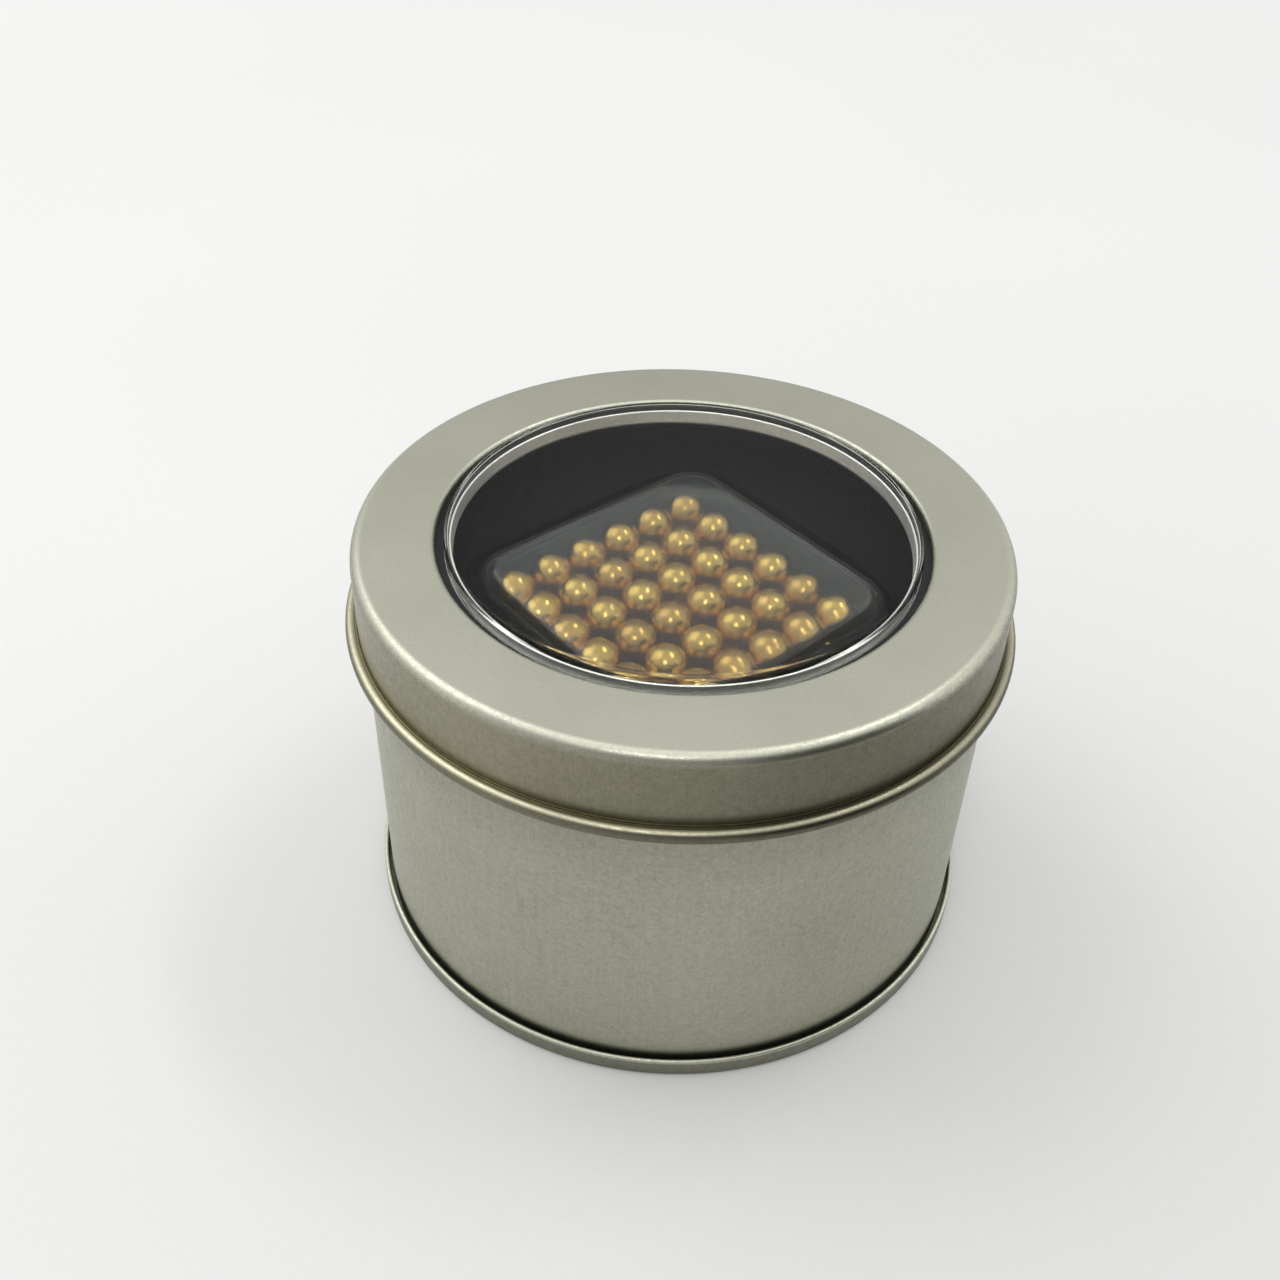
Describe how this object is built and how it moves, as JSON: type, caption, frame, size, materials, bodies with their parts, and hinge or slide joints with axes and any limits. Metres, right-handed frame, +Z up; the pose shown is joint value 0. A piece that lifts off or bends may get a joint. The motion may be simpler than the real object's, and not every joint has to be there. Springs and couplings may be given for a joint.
{
  "type": "magnetic ball cube in a window tin",
  "caption": "Round slip-lid metal tin with a clear window, holding a cube of small magnetic balls in a hazy plastic box bedded in black foam.",
  "frame": {"origin": "centre of the tin's foot, on the surface it stands on", "axes": "+Z up along the axis of the tin; +Y towards the side seam at the back"},
  "size_m": [0.073, 0.073, 0.0483],
  "materials": {
    "tin": "satin tinplate with a fine matt grain and a warm grey tone",
    "tin_base": "satin tinplate",
    "bright_tin": "bright tinplate",
    "clear_window": "clear thermoformed plastic",
    "black_foam": "fine closed-cell foam, matt",
    "black_seal": "thin soft black sheet, matt",
    "hazy_plastic": "slightly frosted clear plastic",
    "gold_ball": "polished gold plating over a magnet"
  },
  "bodies": {
    "tin": {"body_wall": "tin", "base_end": "tin_base", "foam_base_pad": "black_foam"},
    "lid": {"lid_shell": "tin", "window_pane": "clear_window", "window_seal": "black_seal", "window_retainer": "bright_tin"},
    "foam": {"foam_insert": "black_foam"},
    "tray": {"box_tray": "hazy_plastic"},
    "ball_layer_1": {"ball_layer_1_row_1": "gold_ball", "ball_layer_1_row_2": "gold_ball", "ball_layer_1_row_3": "gold_ball", "ball_layer_1_row_4": "gold_ball", "ball_layer_1_row_5": "gold_ball", "ball_layer_1_row_6": "gold_ball"},
    "ball_layer_2": {"ball_layer_2_row_1": "gold_ball", "ball_layer_2_row_2": "gold_ball", "ball_layer_2_row_3": "gold_ball", "ball_layer_2_row_4": "gold_ball", "ball_layer_2_row_5": "gold_ball", "ball_layer_2_row_6": "gold_ball"},
    "ball_layer_3": {"ball_layer_3_row_1": "gold_ball", "ball_layer_3_row_2": "gold_ball", "ball_layer_3_row_3": "gold_ball", "ball_layer_3_row_4": "gold_ball", "ball_layer_3_row_5": "gold_ball", "ball_layer_3_row_6": "gold_ball"},
    "ball_layer_4": {"ball_layer_4_row_1": "gold_ball", "ball_layer_4_row_2": "gold_ball", "ball_layer_4_row_3": "gold_ball", "ball_layer_4_row_4": "gold_ball", "ball_layer_4_row_5": "gold_ball", "ball_layer_4_row_6": "gold_ball"},
    "ball_layer_5": {"ball_layer_5_row_1": "gold_ball", "ball_layer_5_row_2": "gold_ball", "ball_layer_5_row_3": "gold_ball", "ball_layer_5_row_4": "gold_ball", "ball_layer_5_row_5": "gold_ball", "ball_layer_5_row_6": "gold_ball"},
    "ball_layer_6": {"ball_layer_6_row_1": "gold_ball", "ball_layer_6_row_2": "gold_ball", "ball_layer_6_row_3": "gold_ball", "ball_layer_6_row_4": "gold_ball", "ball_layer_6_row_5": "gold_ball", "ball_layer_6_row_6": "gold_ball"},
    "cover": {"box_cover": "hazy_plastic"}
  },
  "joints": [
    {"name": "lid_lift", "type": "slide", "parent": "tin", "child": "lid", "axis": [0, 0, 1], "range_m": [0, 0.16]},
    {"name": "foam_lift", "type": "slide", "parent": "tin", "child": "foam", "axis": [0, 0, 1], "range_m": [0, 0.0437]},
    {"name": "tray_lift", "type": "slide", "parent": "tin", "child": "tray", "axis": [0, 0, 1], "range_m": [0, 0.0773]},
    {"name": "ball_layer_1_lift", "type": "slide", "parent": "tin", "child": "ball_layer_1", "axis": [0, 0, 1], "range_m": [0, 0.1077]},
    {"name": "ball_layer_2_lift", "type": "slide", "parent": "tin", "child": "ball_layer_2", "axis": [0, 0, 1], "range_m": [0, 0.1097]},
    {"name": "ball_layer_3_lift", "type": "slide", "parent": "tin", "child": "ball_layer_3", "axis": [0, 0, 1], "range_m": [0, 0.1117]},
    {"name": "ball_layer_4_lift", "type": "slide", "parent": "tin", "child": "ball_layer_4", "axis": [0, 0, 1], "range_m": [0, 0.1137]},
    {"name": "ball_layer_5_lift", "type": "slide", "parent": "tin", "child": "ball_layer_5", "axis": [0, 0, 1], "range_m": [0, 0.1157]},
    {"name": "ball_layer_6_lift", "type": "slide", "parent": "tin", "child": "ball_layer_6", "axis": [0, 0, 1], "range_m": [0, 0.1177]},
    {"name": "cover_lift", "type": "slide", "parent": "tin", "child": "cover", "axis": [0, 0, 1], "range_m": [0, 0.1301]}
  ],
  "couplings": [
    {"joint": "foam_lift", "follows": "lid_lift", "ratio": 0.27},
    {"joint": "tray_lift", "follows": "lid_lift", "ratio": 0.48},
    {"joint": "ball_layer_1_lift", "follows": "lid_lift", "ratio": 0.67},
    {"joint": "ball_layer_2_lift", "follows": "lid_lift", "ratio": 0.6825},
    {"joint": "ball_layer_3_lift", "follows": "lid_lift", "ratio": 0.695},
    {"joint": "ball_layer_4_lift", "follows": "lid_lift", "ratio": 0.7075},
    {"joint": "ball_layer_5_lift", "follows": "lid_lift", "ratio": 0.72},
    {"joint": "ball_layer_6_lift", "follows": "lid_lift", "ratio": 0.7325},
    {"joint": "cover_lift", "follows": "lid_lift", "ratio": 0.81}
  ]
}
